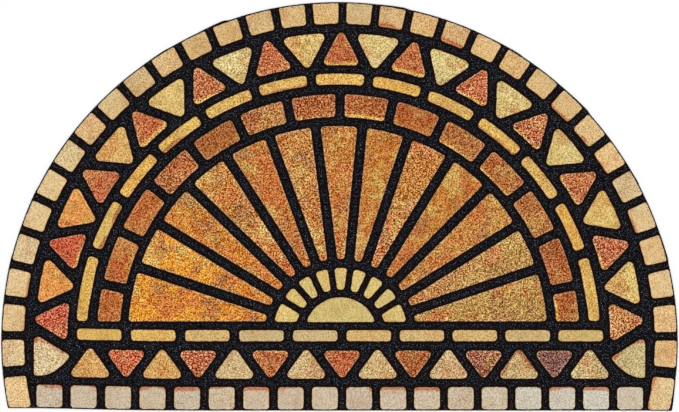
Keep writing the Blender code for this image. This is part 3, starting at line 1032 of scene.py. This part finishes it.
class DOORMAT_OT_rubber_body(bpy.types.Operator):
    """Adds the rubber: flat underside, rim, crumbly groove floor and the pads under the flock"""
    bl_idname = "doormat.rubber_body"
    bl_label = "Rubber body"

    def execute(self, context):
        sizes = context.scene.doormat_sizes
        surface = Surface()
        rim = add_rim(surface, sizes)
        pads = [add_pad(surface, sizes, outline) for kind in PRINTS for outline in tile_outlines(kind)]
        add_groove_floor(surface, sizes, rim, pads)
        body = surface.object("rubber_body", crumb_rubber(context.scene.doormat_colours))
        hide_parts("mat")
        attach(body, "root")
        return {"FINISHED"}


def lint_model(sizes):
    """One bit of lint, bent in its middle, as points and faces."""
    bpy.ops.object.select_all(action="DESELECT")
    bpy.ops.mesh.primitive_cylinder_add(
        vertices=LINT_SIDES, radius=sizes.lint_width / 2, depth=sizes.lint_length, rotation=(0, pi / 2, 0))
    bpy.ops.object.transform_apply(location=True, rotation=True, scale=True)
    model = bpy.context.object
    bpy.ops.object.mode_set(mode="EDIT")
    bpy.ops.mesh.select_all(action="SELECT")
    bpy.ops.mesh.bisect(plane_co=(0, 0, 0), plane_no=(1, 0, 0))
    bpy.ops.transform.translate(value=(0, LINT_BEND * sizes.lint_length, 0))
    bpy.ops.object.mode_set(mode="OBJECT")
    points = np.array([tuple(v.co) for v in model.data.vertices])
    faces = [tuple(p.vertices) for p in model.data.polygons]
    bpy.data.objects.remove(model, do_unlink=True)
    return points, faces


class DOORMAT_OT_lint(bpy.types.Operator):
    """Scatters bits of lint in the grooves, copied from one that is bent in its middle"""
    bl_idname = "doormat.lint"
    bl_label = "Lint"

    def execute(self, context):
        sizes = context.scene.doormat_sizes
        colours = context.scene.doormat_colours
        rng = np.random.default_rng(LINT_SEED)
        model, faces = lint_model(sizes)
        rim = even(mat_outline(), sizes.rubber_cell)
        tiles = [even(outline, sizes.rubber_cell) for kind in PRINTS for outline in tile_outlines(kind)]
        spots = rng.uniform(rim.min(axis=0), rim.max(axis=0), (LINT_TRIES * sizes.lint_count, 2))
        spots = spots[inside(spots, rim)]
        spots = groove_points(spots, tiles, LINT_GAP)[:sizes.lint_count]
        surface = Surface()
        for spot in spots:
            turn = rng.uniform(0, 2 * pi)
            size = rng.uniform(*LINT_SIZES)
            spin = np.array(((cos(turn), sin(turn)), (-sin(turn), cos(turn))))
            flat = spot + size * model[:, :2] @ spin
            heights = sizes.floor_height + sizes.lint_width + size * model[:, 2]
            tone = rng.uniform(*LINT_TONES) * np.array(colours.lint)
            ink = (*tone ** (1 / DISPLAY_GAMMA), 1.0)
            first = surface.add(flat, heights, ink=ink, mottle=0.0)
            surface.faces += [tuple(first + i for i in face) for face in faces]
        piece = surface.object("lint", flock_material())
        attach(piece, "root")
        return {"FINISHED"}


class DOORMAT_OT_stage(bpy.types.Operator):
    """Adds the pale floor, the even light with one soft lamp, and the camera straight above"""
    bl_idname = "doormat.stage"
    bl_label = "Stage"

    def execute(self, context):
        stage = context.scene.doormat_stage
        bpy.ops.object.select_all(action="DESELECT")
        bpy.ops.mesh.primitive_plane_add(size=stage.floor_size, location=(0, 0, 0))
        bpy.ops.object.mode_set(mode="EDIT")
        bpy.ops.mesh.select_all(action="SELECT")
        bpy.ops.mesh.extrude_region_move(TRANSFORM_OT_translate={"value": (0, 0, -stage.floor_depth)})
        bpy.ops.mesh.select_all(action="SELECT")
        bpy.ops.mesh.normals_make_consistent(inside=False)
        bpy.ops.mesh.bevel(
            offset=FLOOR_BEVEL * stage.floor_depth, segments=FLOOR_BEVEL_STEPS, affect="EDGES")
        bpy.ops.object.mode_set(mode="OBJECT")
        floor = context.object
        floor.name = "floor"
        floor.data.materials.append(pale_floor(stage.floor_colour))

        world = bpy.data.worlds.new("Even white light")
        world.use_nodes = True
        background = world.node_tree.nodes["Background"]
        background.inputs["Color"].default_value = (1.0, 1.0, 1.0, 1.0)
        background.inputs["Strength"].default_value = stage.sky
        context.scene.world = world

        bpy.ops.object.light_add(type="AREA", location=(0, 0, stage.lamp_height))
        lamp = context.object
        lamp.name = "soft_lamp"
        lamp.data.size = stage.lamp_size
        lamp.data.energy = stage.lamp_power

        height = stage.camera_height + CAD_BOX[1][2]
        bpy.ops.object.camera_add(location=(0, ARCH_CENTRE_Y + stage.view_up, height), rotation=(0, 0, 0))
        camera = context.object
        camera.name = "camera_above"
        camera.data.lens = camera.data.sensor_width * stage.camera_height / stage.frame_width
        context.scene.camera = camera
        context.scene.view_settings.view_transform = "Standard"
        return {"FINISHED"}


OPERATORS = (
    DOORMAT_OT_flock_sunburst,
    DOORMAT_OT_flock_arches,
    DOORMAT_OT_flock_zigzag,
    DOORMAT_OT_flock_foot_rows,
    DOORMAT_OT_lint,
    DOORMAT_OT_rubber_body,
    DOORMAT_OT_stage,
)


class DOORMAT_PT_panel(bpy.types.Panel):
    """Lists the doormat's pieces"""
    bl_idname = "DOORMAT_PT_panel"
    bl_label = "Doormat"
    bl_space_type = "VIEW_3D"
    bl_region_type = "UI"
    bl_category = "Doormat"

    def draw(self, context):
        for operator in OPERATORS:
            self.layout.operator(operator.bl_idname)


GROUPS = {"doormat_sizes": MatSizes, "doormat_colours": PrintColours, "doormat_stage": StageSettings}
CLASSES = (*GROUPS.values(), *OPERATORS, DOORMAT_PT_panel)


def register():
    for cls in CLASSES:
        bpy.utils.register_class(cls)
    for name, group in GROUPS.items():
        setattr(bpy.types.Scene, name, PointerProperty(type=group))


def unregister():
    for name in GROUPS:
        delattr(bpy.types.Scene, name)
    for cls in reversed(CLASSES):
        bpy.utils.unregister_class(cls)


def main():
    register()
    bpy.ops.doormat.stage()
    bpy.ops.doormat.flock_sunburst()
    bpy.ops.doormat.flock_arches()
    bpy.ops.doormat.flock_zigzag()
    bpy.ops.doormat.flock_foot_rows()
    bpy.ops.doormat.lint()
    bpy.ops.doormat.rubber_body()


if __name__ == "__main__":
    main()
